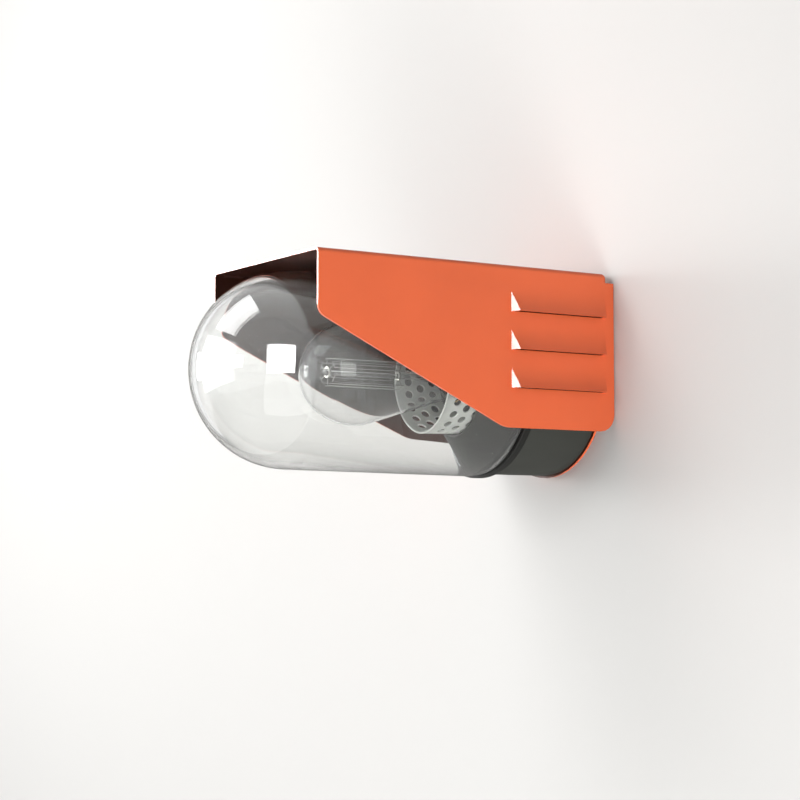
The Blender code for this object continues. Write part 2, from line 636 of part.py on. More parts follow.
def make_lampholder():
    profile = [(0, SOCKET_FLOOR), (SOCKET_BORE, SOCKET_FLOOR), (SOCKET_BORE, HOLDER_RIM),
               (HOLDER_RADIUS, HOLDER_RIM), (HOLDER_RADIUS, HOLDER_BACK), (0, HOLDER_BACK)]
    body = piece("lampholder_body", turned(profile, ROUND_STEPS, False), PORCELAIN)
    bite = HOLDER_BACK + HOLDER_SCREW_BITE
    bore = HOLDER_SHANK + SCREW_CLEARANCE
    holes = [rod(bore, HOLDER_BACK - GAP, bite + GAP, SCREW_STEPS, at) for at in HOLDER_SCREWS]
    boolean(body, cutter("holder_holes", joined(holes)), "DIFFERENCE")
    seat = PLATE_REAR - GAP
    for i, at in enumerate(HOLDER_SCREWS, 1):
        screw = pan_screw(at, HOLDER_HEAD, HOLDER_HEAD_TALL, HOLDER_SHANK, seat, bite, -1)
        piece(f"lampholder_screw_{i}", screw, ZINC)

    # The screw shell lies against the socket's wall, just inside its rim.
    shell_top = HOLDER_RIM - GAP
    shell = tube_ring(SHELL_OUTER - SHELL_WALL, SHELL_OUTER, shell_top - SHELL_LENGTH, shell_top, SMALL_STEPS)
    piece("screw_shell", shell, BRASS)

    # The centre contact is a bowed strip on the socket's floor.
    strip_steps = 12
    spots = [-CONTACT_SPAN / 2 + CONTACT_SPAN * i / strip_steps for i in range(strip_steps + 1)]
    bow = [SOCKET_FLOOR + GAP + CONTACT_RISE * cos(pi * x / CONTACT_SPAN) ** 2 for x in spots]
    outline = list(zip(bow, spots)) + [(z + CONTACT_STRIP, x) for z, x in reversed(list(zip(bow, spots)))]
    piece("centre_contact", plate([outline], -CONTACT_WIDTH / 2, CONTACT_WIDTH / 2, SIDEWAYS), BRASS)


def make_bulb():
    insulator_top = INSULATOR_REAR + INSULATOR_TALL
    tip = [(0, insulator_top), (TIP_STEM, insulator_top), (TIP_STEM, TIP_REAR + TIP_THICK),
           (TIP_RADIUS, TIP_REAR + TIP_THICK), (TIP_RADIUS - TIP_THICK, TIP_REAR), (0, TIP_REAR)]
    piece("bulb_contact", turned(tip, SMALL_STEPS, False), SOLDER, bulb_axis)
    bore = TIP_STEM + GAP
    insulator = [(bore, insulator_top), (CAP_BORE, insulator_top), (TIP_RADIUS + GAP, INSULATOR_REAR),
                 (bore, INSULATOR_REAR)]
    piece("bulb_insulator", turned(insulator, SMALL_STEPS, True), VITRITE, bulb_axis)

    # The cap's rounded thread is drawn as rings of the same pitch.
    skirt = CAP_LENGTH - THREAD_TURNS * THREAD_PITCH
    thread_steps = 2
    outer = [(CAP_RADIUS, CAP_FRONT), (CAP_RADIUS, CAP_FRONT - skirt / 2)]
    for i in range(THREAD_TURNS * thread_steps + 1):
        wave = (1 + cos(2 * pi * i / thread_steps)) / 2
        level = CAP_REAR + THREAD_TURNS * THREAD_PITCH + skirt / 4 - i * THREAD_PITCH / thread_steps
        outer.append((CAP_RADIUS - THREAD_DEPTH * wave, level))
    profile = [(CAP_BORE, CAP_FRONT)] + outer + [(CAP_BORE + CAP_WALL / 4, CAP_REAR), (CAP_BORE, CAP_REAR)]
    piece("bulb_cap", turned(profile, SMALL_STEPS, True), NICKEL, bulb_axis)

    # The envelope: a round head running smoothly into the neck, which the cap takes.
    run = BULB_CENTRE - CAP_FRONT
    tangent = degrees(acos(BULB_RADIUS / hypot(run, NECK_RADIUS)) - atan2(run, NECK_RADIUS))
    centre = (0, BULB_CENTRE)
    outer = arc(centre, BULB_RADIUS, 90, tangent, HEAD_STEPS)
    outer += [(NECK_RADIUS, CAP_FRONT), (NECK_RADIUS, NECK_REAR)]
    neck_bore = NECK_RADIUS - BULB_WALL
    inner = [(neck_bore, NECK_REAR), (neck_bore, CAP_FRONT)]
    inner += arc(centre, BULB_RADIUS - BULB_WALL, tangent, 90, HEAD_STEPS)
    profile = outer + inner
    profile[0] = (0, profile[0][1])
    profile[-1] = (0, profile[-1][1])
    piece("bulb_envelope", turned(profile, SMALL_STEPS, False), CLEAR_GLASS, bulb_axis)

    # The glass mount: a flare in the neck, a thin rod and the hub at its end.
    flare = neck_bore - GAP
    flare_top = NECK_REAR + STEM_FLARE
    hub = arc((0, HUB), HUB_RADIUS, 90, -degrees(acos(STEM_ROD / HUB_RADIUS)), SCREW_STEPS // 2)
    hub[0] = (0, hub[0][1])
    profile = hub + [(STEM_ROD, CAGE_REAR - STEM_NECK), (STEM_WAIST, flare_top + STEM_FLARE),
                     (STEM_WAIST, flare_top), (flare, NECK_REAR + STEM_ROD), (flare, NECK_REAR),
                     (0, NECK_REAR)]
    piece("bulb_stem", turned(profile, SCREW_STEPS, False), CLEAR_GLASS, bulb_axis)
    make_filament()


def make_filament():
    # Legs run fore and aft round the cage, hung from hooks at both ends.
    legs = [radians(360 * (i + 0.5) / CAGE_LEGS) for i in range(CAGE_LEGS)]
    hook_reach = CAGE_RADIUS - 2 * WIRE_RADIUS - GAP
    front, rear = HUB - HUB_RADIUS / 2, CAGE_REAR
    points = []
    for i, turn in enumerate(legs):
        ends = (rear, front) if i % 2 == 0 else (front, rear)
        points += [(CAGE_RADIUS * cos(turn), CAGE_RADIUS * sin(turn), z) for z in ends]
    piece("filament", wire(points, WIRE_RADIUS), TUNGSTEN, bulb_axis)

    def hooks(name, level, bore, first):
        # Spokes stand out of a bead round the rod, one at each bend of the filament.
        bead = tube_ring(bore, bore + 2 * BEAD_RADIUS, level - BEAD_RADIUS, level + BEAD_RADIUS, SCREW_STEPS)
        star = piece(name, bead, TUNGSTEN, bulb_axis)
        reach = hook_reach * cos(pi / CAGE_LEGS)
        spokes = []
        for i in range(first, CAGE_LEGS - 1, 2):
            turn = (legs[i] + legs[i + 1]) / 2
            ends = (bore + BEAD_RADIUS, reach)
            spokes.append(wire([(r * cos(turn), r * sin(turn), level) for r in ends], WIRE_RADIUS))
        boolean(star, cutter(name + "_spokes", joined(spokes)), "UNION")

    hooks("front_hooks", front, HUB_RADIUS + GAP, 0)
    hooks("rear_hooks", rear, STEM_ROD + GAP, 1)

    # Two leads carry the filament's ends from the stem's waist.
    waist_level = NECK_REAR + 2 * STEM_FLARE
    near = STEM_WAIST + WIRE_RADIUS + GAP
    rise = rear - GAP - WIRE_RADIUS
    for i, turn in enumerate((legs[0], legs[-1]), 1):
        stops = ((near, waist_level - STEM_FLARE / 2), (near, waist_level + STEM_FLARE / 2),
                 (CAGE_RADIUS, rise))
        route = [(r * cos(turn), r * sin(turn), z) for r, z in stops]
        piece(f"lead_in_wire_{i}", wire(route, WIRE_RADIUS), NICKEL, bulb_axis)


def make_wiring():
    x, y = CABLE_ENTRY
    top = FLOOR_TOP + GAP + GROMMET_FLANGE_TALL
    profile = [(GROMMET_BORE, top), (GROMMET_FLANGE, top), (GROMMET_FLANGE, FLOOR_TOP + GAP),
               (GROMMET_BODY, FLOOR_TOP + GAP), (GROMMET_BODY, GAP), (GROMMET_BORE, GAP)]
    grommet = turned(profile, SMALL_STEPS, True)
    grommet.transform(Matrix.Translation((x, y, 0)))
    piece("cable_grommet", grommet, RUBBER)

    low = FLOOR_TOP + GAP
    high = low + BLOCK_DEPTH
    ways = [(WAY_PITCH * (i - (WAY_COUNT - 1) / 2), BLOCK_RISE) for i in range(WAY_COUNT)]
    foot = BLOCK_RISE - BLOCK_TALL / 2
    half, corner = BLOCK_WIDTH / 2, BLOCK_CORNER
    block = rounded([(-half, foot, corner), (half, foot, corner), (half, foot + BLOCK_TALL, corner),
                     (-half, foot + BLOCK_TALL, corner)], 2)
    body = piece("terminal_block", plate([block], low, high), WHITE_PLASTIC)
    wells = [rod(WAY_SCREW_RADIUS + GAP, high - WAY_SCREW_TALL, high + GAP, SCREW_STEPS, at) for at in ways]
    entry = LEAD_RADIUS + GAP
    for at, _ in ways:
        hole = rod(entry, 0, BLOCK_TALL / 3, SCREW_STEPS)
        mouth = Matrix.Translation((at, foot - GAP, low + BLOCK_DEPTH / 3))
        hole.transform(mouth @ Matrix.Rotation(-pi / 2, 4, "X"))
        wells.append(hole)
    boolean(body, cutter("block_holes", joined(wells)), "DIFFERENCE")
    for i, at in enumerate(ways, 1):
        screw = rod(WAY_SCREW_RADIUS, high - WAY_SCREW_TALL + GAP, high - GAP, SCREW_STEPS, at)
        piece(f"terminal_screw_{i}", screw, BRASS)

    def lead(name, route, material):
        # A smooth lead through its route's own points.
        smooth = []
        steps = 5
        for i in range(len(route) - 1):
            p0, p1 = Vector(route[max(i - 1, 0)]), Vector(route[i])
            p2, p3 = Vector(route[i + 1]), Vector(route[min(i + 2, len(route) - 1)])
            for k in range(steps):
                t = k / steps
                smooth.append(0.5 * (2 * p1 + (p2 - p0) * t + (2 * p0 - 5 * p1 + 4 * p2 - p3) * t * t
                                     + (3 * p1 - p0 - 3 * p2 + p3) * t ** 3))
        smooth.append(Vector(route[-1]))
        piece(name, wire(smooth, LEAD_RADIUS), material)

    entry_level = low + BLOCK_DEPTH / 3
    end = HOLDER_BACK - GAP

    def way_out(way):
        # Straight out of the block's entry, before the lead bends away.
        x = ways[way][0]
        return [(x, y, entry_level) for y in (foot + BLOCK_TALL / 4, foot, foot - LEAD_STRAIGHT)]

    for name, way, side, material in (("live_lead", 2, 1, BROWN_LEAD), ("neutral_lead", 1, -1, BLUE_LEAD)):
        x = side * LEAD_SPREAD
        middle = (entry_level + end) / 2
        lead(name, way_out(way) + [(x, 0, middle), (x, 0, end - LEAD_STRAIGHT), (x, 0, end)], material)
    lug = FLOOR_TOP + GAP + EARTH_TALL / 2
    stop = EARTH_X + EARTH_RADIUS + GAP
    lead("earth_lead", way_out(0) + [(stop + LEAD_STRAIGHT, EARTH_Y, lug), (stop, EARTH_Y, lug)], GREEN_LEAD)
    earth = pan_screw((EARTH_X, EARTH_Y), EARTH_RADIUS, EARTH_TALL, EARTH_SHANK, FLOOR_TOP + GAP,
                      FLOOR_TOP - BASE_FLOOR / 2 + GAP)
    piece("earth_screw", earth, ZINC)


make_hood()
make_wall_bracket()
make_base()
make_cover()
make_glass()
make_shroud()
make_lampholder()
make_bulb()
make_wiring()
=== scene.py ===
import json
from math import acos, atan2, cos, degrees, hypot, pi, radians, sin

import bpy
from mathutils import Matrix, Vector


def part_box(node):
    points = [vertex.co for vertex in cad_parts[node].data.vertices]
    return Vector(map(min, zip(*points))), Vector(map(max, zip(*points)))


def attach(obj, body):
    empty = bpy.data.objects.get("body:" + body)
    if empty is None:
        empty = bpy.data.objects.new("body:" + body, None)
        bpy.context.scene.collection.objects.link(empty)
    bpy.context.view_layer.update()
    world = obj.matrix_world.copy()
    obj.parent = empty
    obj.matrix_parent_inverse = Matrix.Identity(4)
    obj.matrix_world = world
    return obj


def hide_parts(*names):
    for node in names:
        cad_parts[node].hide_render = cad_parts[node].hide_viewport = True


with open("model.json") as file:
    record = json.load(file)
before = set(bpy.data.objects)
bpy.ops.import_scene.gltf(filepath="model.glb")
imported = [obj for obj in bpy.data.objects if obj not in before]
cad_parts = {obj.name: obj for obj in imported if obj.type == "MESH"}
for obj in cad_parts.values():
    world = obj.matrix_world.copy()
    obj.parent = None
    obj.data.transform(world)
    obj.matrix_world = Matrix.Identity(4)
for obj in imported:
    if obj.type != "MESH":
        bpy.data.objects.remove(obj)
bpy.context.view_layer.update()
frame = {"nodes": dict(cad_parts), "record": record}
nodes = frame["nodes"]
print("frame loaded:", len(nodes), "nodes")


# helpers for materials


def hexColour(code):
    # sRGB hex to linear, the form that shader sockets take
    parts = [int(code[i:i + 2], 16) / 255 for i in (1, 3, 5)]
    linear = [c / 12.92 if c <= 0.04045 else ((c + 0.055) / 1.055) ** 2.4 for c in parts]
    return (*linear, 1.0)


def fill(tree, node, values):
    # a value that is a socket becomes a link
    for name, value in values.items():
        if isinstance(value, bpy.types.NodeSocket):
            tree.links.new(value, node.inputs[name])
        else:
            node.inputs[name].default_value = value


def addNode(tree, kind, values=None, **settings):
    made = tree.nodes.new(kind)
    for name, value in settings.items():
        setattr(made, name, value)
    fill(tree, made, values or {})
    return made


def newMaterial(name):
    material = bpy.data.materials.new(name)
    material.use_nodes = True
    tree = material.node_tree
    return material, tree, tree.nodes["Principled BSDF"]


def perMetre(sizeMm):
    # a pattern's scale, from the size of one of its spots in millimetres
    return 1000 / sizeMm


# helpers for modelling

# welding distance and seed size in metres, flatness in degrees, steps round a turned piece
meshValues = {"merge": 1e-6, "seed": 0.001, "flatWithin": 0.3, "steps": 96, "flatWeight": 100}


def startClean():
    if bpy.context.object and bpy.context.object.mode != "OBJECT":
        bpy.ops.object.mode_set(mode="OBJECT")
    bpy.ops.object.select_all(action="DESELECT")


def onlyThis(piece):
    startClean()
    piece.select_set(True)
    bpy.context.view_layer.objects.active = piece


def applyModifier(piece, kind, **settings):
    onlyThis(piece)
    step = piece.modifiers.new(kind.lower(), kind)
    for name, value in settings.items():
        setattr(step, name, value)
    bpy.ops.object.modifier_apply(modifier=step.name)


def softenEdges(piece, width, segments=3, angle=35):
    applyModifier(piece, "BEVEL", width=width, segments=segments, limit_method="ANGLE",
                  angle_limit=radians(angle), use_clamp_overlap=True)


def smooth(piece, angle=35):
    onlyThis(piece)
    bpy.ops.object.shade_smooth_by_angle(angle=radians(angle))


def keepFlat(piece):
    # large faces keep their own shading beside small rounded edges
    applyModifier(piece, "WEIGHTED_NORMAL", keep_sharp=True, weight=meshValues["flatWeight"])


def dress(piece, *materials):
    piece.data.materials.clear()
    for material in materials:
        piece.data.materials.append(material)


def standFor(piece, body, node):
    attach(piece, body)
    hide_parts(node)


def arcPoints(centre, radius, start, end, steps):
    turns = [radians(start + (end - start) * i / steps) for i in range(steps + 1)]
    return [(centre[0] + radius * cos(a), centre[1] + radius * sin(a)) for a in turns]


def levels(node):
    # a turned node's largest radius, and how far from the wall it starts and ends
    low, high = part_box(node)
    return high.x, -high.y, -low.y


def spinPiece(name, profile, steps=meshValues["steps"], closed=False):
    # one vertex is pulled along a profile of (radius, distance from the wall),
    # then spun about the lamp's axis
    startClean()
    bpy.ops.mesh.primitive_plane_add(size=meshValues["seed"])
    piece = bpy.context.object
    piece.name = name
    piece.data.name = name
    bpy.ops.object.mode_set(mode="EDIT")
    bpy.ops.mesh.merge(type="CENTER")
    points = [Vector((r, -z, 0)) for r, z in profile]
    if closed:
        points.append(points[0])
    bpy.ops.transform.translate(value=points[0])
    for before, after in zip(points, points[1:]):
        bpy.ops.mesh.extrude_region_move(TRANSFORM_OT_translate={"value": after - before})
    bpy.ops.mesh.select_all(action="SELECT")
    bpy.ops.mesh.spin(steps=steps, angle=2 * pi, center=(0, 0, 0), axis=(0, 1, 0))
    bpy.ops.mesh.select_all(action="SELECT")
    bpy.ops.mesh.remove_doubles(threshold=meshValues["merge"])
    bpy.ops.mesh.normals_make_consistent(inside=False)
    bpy.ops.object.mode_set(mode="OBJECT")
    return piece


def cleanCopy(node, name):
    # a copy of a CAD node, its loose triangles merged into whole faces
    piece = bpy.data.objects.new(name, nodes[node].data.copy())
    piece.data.name = name
    bpy.context.scene.collection.objects.link(piece)
    onlyThis(piece)
    bpy.ops.object.mode_set(mode="EDIT")
    bpy.ops.mesh.select_all(action="SELECT")
    bpy.ops.mesh.remove_doubles(threshold=meshValues["merge"])
    bpy.ops.mesh.dissolve_limited(angle_limit=radians(meshValues["flatWithin"]))
    bpy.ops.object.mode_set(mode="OBJECT")
    return piece


# materials

coatValues = {"rippleMm": 1.6, "rippleDepth": 0.06, "rippleHeight": 0.0005, "cloudMm": 40, "darkest": 0.93,
              "palest": 1.06, "glossSwing": 0.06, "specular": 0.35, "lacquerRoughness": 0.06}
glassFinish = {"waveMm": 30, "waveDepth": 0.02, "waveHeight": 0.001}
metalValues = {"grainMm": 0.8, "polishSwing": 0.08}
mouldValues = {"grainHeight": 0.0003, "sheenSwing": 0.05}


def powderCoat(name, colour, roughness, lacquer=0.0):
    # powder coat, sprayed and baked: a satin skin with a faint orange-peel ripple,
    # drawn a little coarse to show; a lacquer gives it a clear gloss on top
    material, tree, shader = newMaterial(name)
    place = addNode(tree, "ShaderNodeTexCoord").outputs["Object"]
    ripple = addNode(tree, "ShaderNodeTexNoise", {"Vector": place, "Detail": 2.0,
                                                  "Scale": perMetre(coatValues["rippleMm"])})
    cloud = addNode(tree, "ShaderNodeTexNoise", {"Vector": place, "Detail": 3.0,
                                                 "Scale": perMetre(coatValues["cloudMm"])})
    base = hexColour(colour)[:3]
    tone = addNode(tree, "ShaderNodeValToRGB", {"Fac": cloud.outputs["Fac"]})
    for stop, share in zip(tone.color_ramp.elements, (coatValues["darkest"], coatValues["palest"])):
        stop.color = (*[min(1, c * share) for c in base], 1)
    gloss = addNode(tree, "ShaderNodeMapRange", {"Value": cloud.outputs["Fac"],
                                                 "To Min": roughness - coatValues["glossSwing"],
                                                 "To Max": roughness + coatValues["glossSwing"]})
    bump = addNode(tree, "ShaderNodeBump", {"Height": ripple.outputs["Fac"],
                                            "Strength": coatValues["rippleDepth"],
                                            "Distance": coatValues["rippleHeight"]})
    fill(tree, shader, {"Base Color": tone.outputs["Color"], "Roughness": gloss.outputs["Result"],
                        "Specular IOR Level": coatValues["specular"], "Coat Weight": lacquer,
                        "Coat Roughness": coatValues["lacquerRoughness"], "Normal": bump.outputs["Normal"]})
    return material


def clearGlass(name, tint, ior, gloss=0.0, haze=0.0):
    # blown glass: clear and fire-polished, with the slightest waviness; a heavy one mirrors
    # more of the room, and a thin one bends light less and has a faint haze
    material, tree, shader = newMaterial(name)
    place = addNode(tree, "ShaderNodeTexCoord").outputs["Object"]
    wave = addNode(tree, "ShaderNodeTexNoise", {"Vector": place, "Detail": 1.0,
                                                "Scale": perMetre(glassFinish["waveMm"])})
    bump = addNode(tree, "ShaderNodeBump", {"Height": wave.outputs["Fac"],
                                            "Strength": glassFinish["waveDepth"],
                                            "Distance": glassFinish["waveHeight"]})
    fill(tree, shader, {"Base Color": hexColour(tint), "Roughness": 0.0, "IOR": ior,
                        "Transmission Weight": 1 - haze, "Coat Weight": gloss, "Coat Roughness": 0.0,
                        "Normal": bump.outputs["Normal"]})
    return material


def plainMetal(name, colour, roughness):
    # plated, pressed or drawn metal with an uneven polish
    material, tree, shader = newMaterial(name)
    place = addNode(tree, "ShaderNodeTexCoord").outputs["Object"]
    grain = addNode(tree, "ShaderNodeTexNoise", {"Vector": place, "Detail": 3.0,
                                                 "Scale": perMetre(metalValues["grainMm"])})
    polish = addNode(tree, "ShaderNodeMapRange", {"Value": grain.outputs["Fac"],
                                                  "To Min": roughness - metalValues["polishSwing"],
                                                  "To Max": roughness + metalValues["polishSwing"]})
    fill(tree, shader, {"Base Color": hexColour(colour), "Metallic": 1.0,
                        "Roughness": polish.outputs["Result"]})
    return material


def moulded(name, colour, roughness, grainMm=1.2, depth=0.08):
    # moulded rubber or nylon, extruded sleeve or fired glaze: one colour with a fine skin
    material, tree, shader = newMaterial(name)
    place = addNode(tree, "ShaderNodeTexCoord").outputs["Object"]
    grain = addNode(tree, "ShaderNodeTexNoise", {"Vector": place, "Detail": 2.0, "Scale": perMetre(grainMm)})
    bump = addNode(tree, "ShaderNodeBump", {"Height": grain.outputs["Fac"], "Strength": depth,
                                            "Distance": mouldValues["grainHeight"]})
    sheen = addNode(tree, "ShaderNodeMapRange", {"Value": grain.outputs["Fac"],
                                                 "To Min": roughness - mouldValues["sheenSwing"],
                                                 "To Max": roughness + mouldValues["sheenSwing"]})
    fill(tree, shader, {"Base Color": hexColour(colour), "Roughness": sheen.outputs["Result"],
                        "Normal": bump.outputs["Normal"]})
    return material


orangeCoat = powderCoat("orange powder coat", "#EA693B", 0.42, lacquer=0.9)
# painted shade: the hood's inside is the same orange sheet, drawn dark brown as it looks in deep shadow
innerShadeCoat = powderCoat("inner side painted dark as shade", "#4A2418", 0.45)
darkCoat = powderCoat("dark grey powder coat", "#383935", 0.5)
blackCoat = powderCoat("black powder coat", "#232321", 0.4)
paleCoat = powderCoat("pale painted steel", "#F0F2EC", 0.4)
domeGlass = clearGlass("clear dome glass", "#FEFFFE", 1.5, gloss=0.7)
bulbGlass = clearGlass("thin bulb glass", "#FFFFFF", 1.25, haze=0.05)
zincPlate = plainMetal("zinc plated steel", "#C4C4C0", 0.35)
brassSheet = plainMetal("pressed brass", "#D8B46A", 0.3)
nickelPlate = plainMetal("nickel plate", "#D2D0CB", 0.25)
tungstenWire = plainMetal("tungsten wire", "#B5B2AC", 0.4)
solderTin = plainMetal("tin solder", "#B9B9B9", 0.4)
blackSilicone = moulded("black silicone", "#1E1E1D", 0.65)
darkCeramic = moulded("dark glazed porcelain", "#4A4A45", 0.2, grainMm=4.0, depth=0.03)
whiteNylon = moulded("white nylon", "#E4E3DE", 0.5)
capGlass = moulded("black cap glass", "#141416", 0.12, grainMm=2.0, depth=0.03)
brownSleeve = moulded("brown wire sleeve", "#5B3420", 0.45)
blueSleeve = moulded("blue wire sleeve", "#2E63B0", 0.45)
greenSleeve = moulded("green wire sleeve", "#5A9A45", 0.45)
print("materials made")


# hood

hoodValues = {"edgeRound": 0.00025, "edgeSegments": 2, "edgeAngle": 50, "smoothAngle": 40, "sheet": 0.0015,
              "louvreMiddle": 0.045, "facing": 0.6}


def facesInside(centre, normal, panelFront, sideInner):
    # the sheet's inner side: below the top, between the sides, before the back panel
    # and behind the louvres; these faces take the painted shade
    facing, sheet = hoodValues["facing"], hoodValues["sheet"]
    outwards = 1 if centre.x > 0 else -1
    if abs(normal.x) > facing:
        return normal.x * outwards < 0 and centre.y < panelFront
    if abs(normal.y) > facing and abs(centre.x) > sideInner + sheet:
        return (normal.y < 0) != (-centre.y > hoodValues["louvreMiddle"])
    if normal.z < -facing:
        return abs(centre.x) < sideInner + sheet and centre.z > sideInner
    if normal.y < -facing:
        return abs(centre.y - panelFront) < sheet and abs(centre.x) < sideInner
    return False


def makeHood():
    hood = cleanCopy("hood", "hood_sheet")
    softenEdges(hood, hoodValues["edgeRound"], hoodValues["edgeSegments"], hoodValues["edgeAngle"])
    # the inner faces get the painted shade, a darkened stand-in for the orange coat in shadow
    dress(hood, orangeCoat, innerShadeCoat)
    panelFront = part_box("wall_bracket")[0].y - hoodValues["sheet"]
    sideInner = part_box("neck_ring")[1].x
    for face in hood.data.polygons:
        face.material_index = int(facesInside(face.center, face.normal, panelFront, sideInner))
    smooth(hood, hoodValues["smoothAngle"])
    keepFlat(hood)
    standFor(hood, "fixture", "hood")


# glass, its ring and its gasket

glassValues = {"wall": 0.004, "rimWall": 0.0031, "taper": 0.0012, "rimRound": 0.0012, "rimSegments": 4,
               "rimAngle": 60, "domeSteps": 32, "steps": 128}
ringValues = {"bore": 0.0546, "collar": 0.0588, "collarTall": 0.0015, "round": 0.0006, "steps": 128,
              "gasketShare": 0.25}


def makeGlass():
    rim, rear, tip = levels("glass_dome")
    dome = rim - glassValues["taper"]
    centre = (0, tip - dome)
    count = glassValues["domeSteps"]
    profile = arcPoints(centre, dome, 90, 0, count)
    profile += [(rim, rear), (rim - glassValues["rimWall"], rear)]
    profile += arcPoints(centre, dome - glassValues["wall"], 0, 90, count)
    profile[0] = (0, tip)
    profile[-1] = (0, tip - glassValues["wall"])
    glass = spinPiece("dome_glass", profile, glassValues["steps"])
    softenEdges(glass, glassValues["rimRound"], glassValues["rimSegments"], glassValues["rimAngle"])
    dress(glass, domeGlass)
    smooth(glass)
    standFor(glass, "glass", "glass_dome")


def makeRing():
    radius, rear, front = levels("neck_ring")
    flange = front - ringValues["collarTall"]
    bore, collar = ringValues["bore"], ringValues["collar"]
    profile = [(bore, front), (collar, front), (collar, flange), (radius, flange), (radius, rear),
               (bore, rear)]
    ring = spinPiece("ring_of_glass", profile, ringValues["steps"], closed=True)
    softenEdges(ring, ringValues["round"])
    dress(ring, blackCoat)
    smooth(ring)
    standFor(ring, "glass", "neck_ring")


def makeGasket():
    radius, rear, front = levels("neck_gasket")
    bore = ringValues["bore"]
    profile = [(bore, front), (radius, front), (radius, rear), (bore, rear)]
    gasket = spinPiece("ring_gasket", profile, closed=True)
    softenEdges(gasket, (front - rear) * ringValues["gasketShare"])
    dress(gasket, blackSilicone)
    smooth(gasket)
    standFor(gasket, "gasket", "neck_gasket")


# base and its conical cover

baseValues = {"round": 0.0008, "coneRound": 0.0003, "segments": 3, "edgeAngle": 40}


def makeBase():
    for node, name, width in (("base_housing", "base_can", baseValues["round"]),
                              ("housing_cover", "base_cone", baseValues["coneRound"])):
        piece = cleanCopy(node, name)
        softenEdges(piece, width, baseValues["segments"], baseValues["edgeAngle"])
        dress(piece, darkCoat)
        smooth(piece)
        standFor(piece, "fixture", node)


# perforated shroud

shroudValues = {"sheet": 0.0008, "rearRadius": 0.0315, "window": 0.012, "rows": 3, "perRow": 24,
                "holeRadius": 0.0027, "rowPitch": 0.008, "firstRow": 0.0091, "holeSides": 20,
                "punchLength": 0.0048, "rimRoll": 0.00064, "rimSteps": 10, "rimStart": 180, "rimEnd": -45}


def punchRows(rim, middle):
    # one punch for each hole, every second row half a step on, joined into one cutter
    startClean()
    bpy.ops.mesh.primitive_cylinder_add(vertices=shroudValues["holeSides"],
                                        radius=shroudValues["holeRadius"],
                                        depth=shroudValues["punchLength"])
    punch = bpy.context.object
    copies = []
    for row in range(shroudValues["rows"]):
        level = rim - shroudValues["firstRow"] - row * shroudValues["rowPitch"]
        for i in range(shroudValues["perRow"]):
            turn = 2 * pi * (i + 0.5 * (row % 2)) / shroudValues["perRow"]
            copy = punch.copy()
            copy.data = punch.data.copy()
            bpy.context.scene.collection.objects.link(copy)
            around = Matrix.Translation((0, -level, 0)) @ Matrix.Rotation(-turn, 4, "Y")
            lying = Matrix.Translation((middle, 0, 0)) @ Matrix.Rotation(pi / 2, 4, "Y")
            copy.data.transform(around @ lying)
            copies.append(copy)
    bpy.data.objects.remove(punch)
    startClean()
    for copy in copies:
        copy.select_set(True)
    bpy.context.view_layer.objects.active = copies[0]
    bpy.ops.object.join()
    return copies[0]


def makeShroud():
    radius, rear, rim = levels("socket_shroud")
    sheet, roll = shroudValues["sheet"], shroudValues["rimRoll"]
    rearRadius, window = shroudValues["rearRadius"], shroudValues["window"]
    floor = rear + sheet
    # floor, flaring wall and a rolled rim
    profile = [(window, floor), (rearRadius - sheet, floor), (radius - 2 * roll, rim - 2 * roll)]
    profile += arcPoints((radius - roll, rim - roll), roll,
                         shroudValues["rimStart"], shroudValues["rimEnd"], shroudValues["rimSteps"])
    profile += [(rearRadius, rear), (window, rear)]
    shroud = spinPiece("socket_cup", profile, closed=True)
    cutter = punchRows(rim, (radius + rearRadius) / 2)
    applyModifier(shroud, "BOOLEAN", object=cutter, operation="DIFFERENCE", solver="EXACT")
    bpy.data.objects.remove(cutter)
    dress(shroud, paleCoat)
    smooth(shroud)
    standFor(shroud, "fixture", "socket_shroud")


# lampholder

holderValues = {"bore": 0.0144, "floor": 0.0105, "lip": 0.003, "groove": 0.0008, "round": 0.0004}
shellValues = {"wall": 0.0006, "threadDepth": 0.0002, "turns": 4, "turnSteps": 8, "steps": 64,
               "smoothAngle": 60}


def makeLampholder():
    radius, rear, rim = levels("lampholder_body")
    bore, floor, groove = holderValues["bore"], rear + holderValues["floor"], holderValues["groove"]
    lip = rim - holderValues["lip"]
    profile = [(0, floor), (bore, floor), (bore, rim), (radius - groove, rim), (radius - groove, lip),
               (radius, lip - groove), (radius, rear), (0, rear)]
    body = spinPiece("holder_body", profile)
    softenEdges(body, holderValues["round"])
    dress(body, darkCeramic)
    smooth(body)
    standFor(body, "fixture", "lampholder_body")


def makeScrewShell():
    # the brass shell, with the rolled thread that takes the bulb
    radius, rear, front = levels("screw_shell")
    depth = shellValues["threadDepth"]
    innerCrest = radius - shellValues["wall"] + depth
    count = shellValues["turns"] * shellValues["turnSteps"]
    outer, inner = [], []
    for i in range(count + 1):
        wave = depth * (1 + cos(2 * pi * i / shellValues["turnSteps"])) / 2
        level = rear + (front - rear) * i / count
        outer.append((radius - wave, level))
        inner.append((innerCrest - wave, level))
    shell = spinPiece("holder_shell", outer[::-1] + inner, shellValues["steps"], closed=True)
    dress(shell, brassSheet)
    smooth(shell, shellValues["smoothAngle"])
    standFor(shell, "fixture", "screw_shell")


# bulb

bulbValues = {"wall": 0.0009, "neck": 0.0117, "neckInCap": 0.010, "headSteps": 28, "smoothAngle": 60}
capValues = {"wall": 0.0011, "pitch": 0.00362, "turns": 4, "depth": 0.0006, "turnSteps": 10, "skirt": 0.0032,
             "steps": 64, "smoothAngle": 60, "lipShare": 0.25}


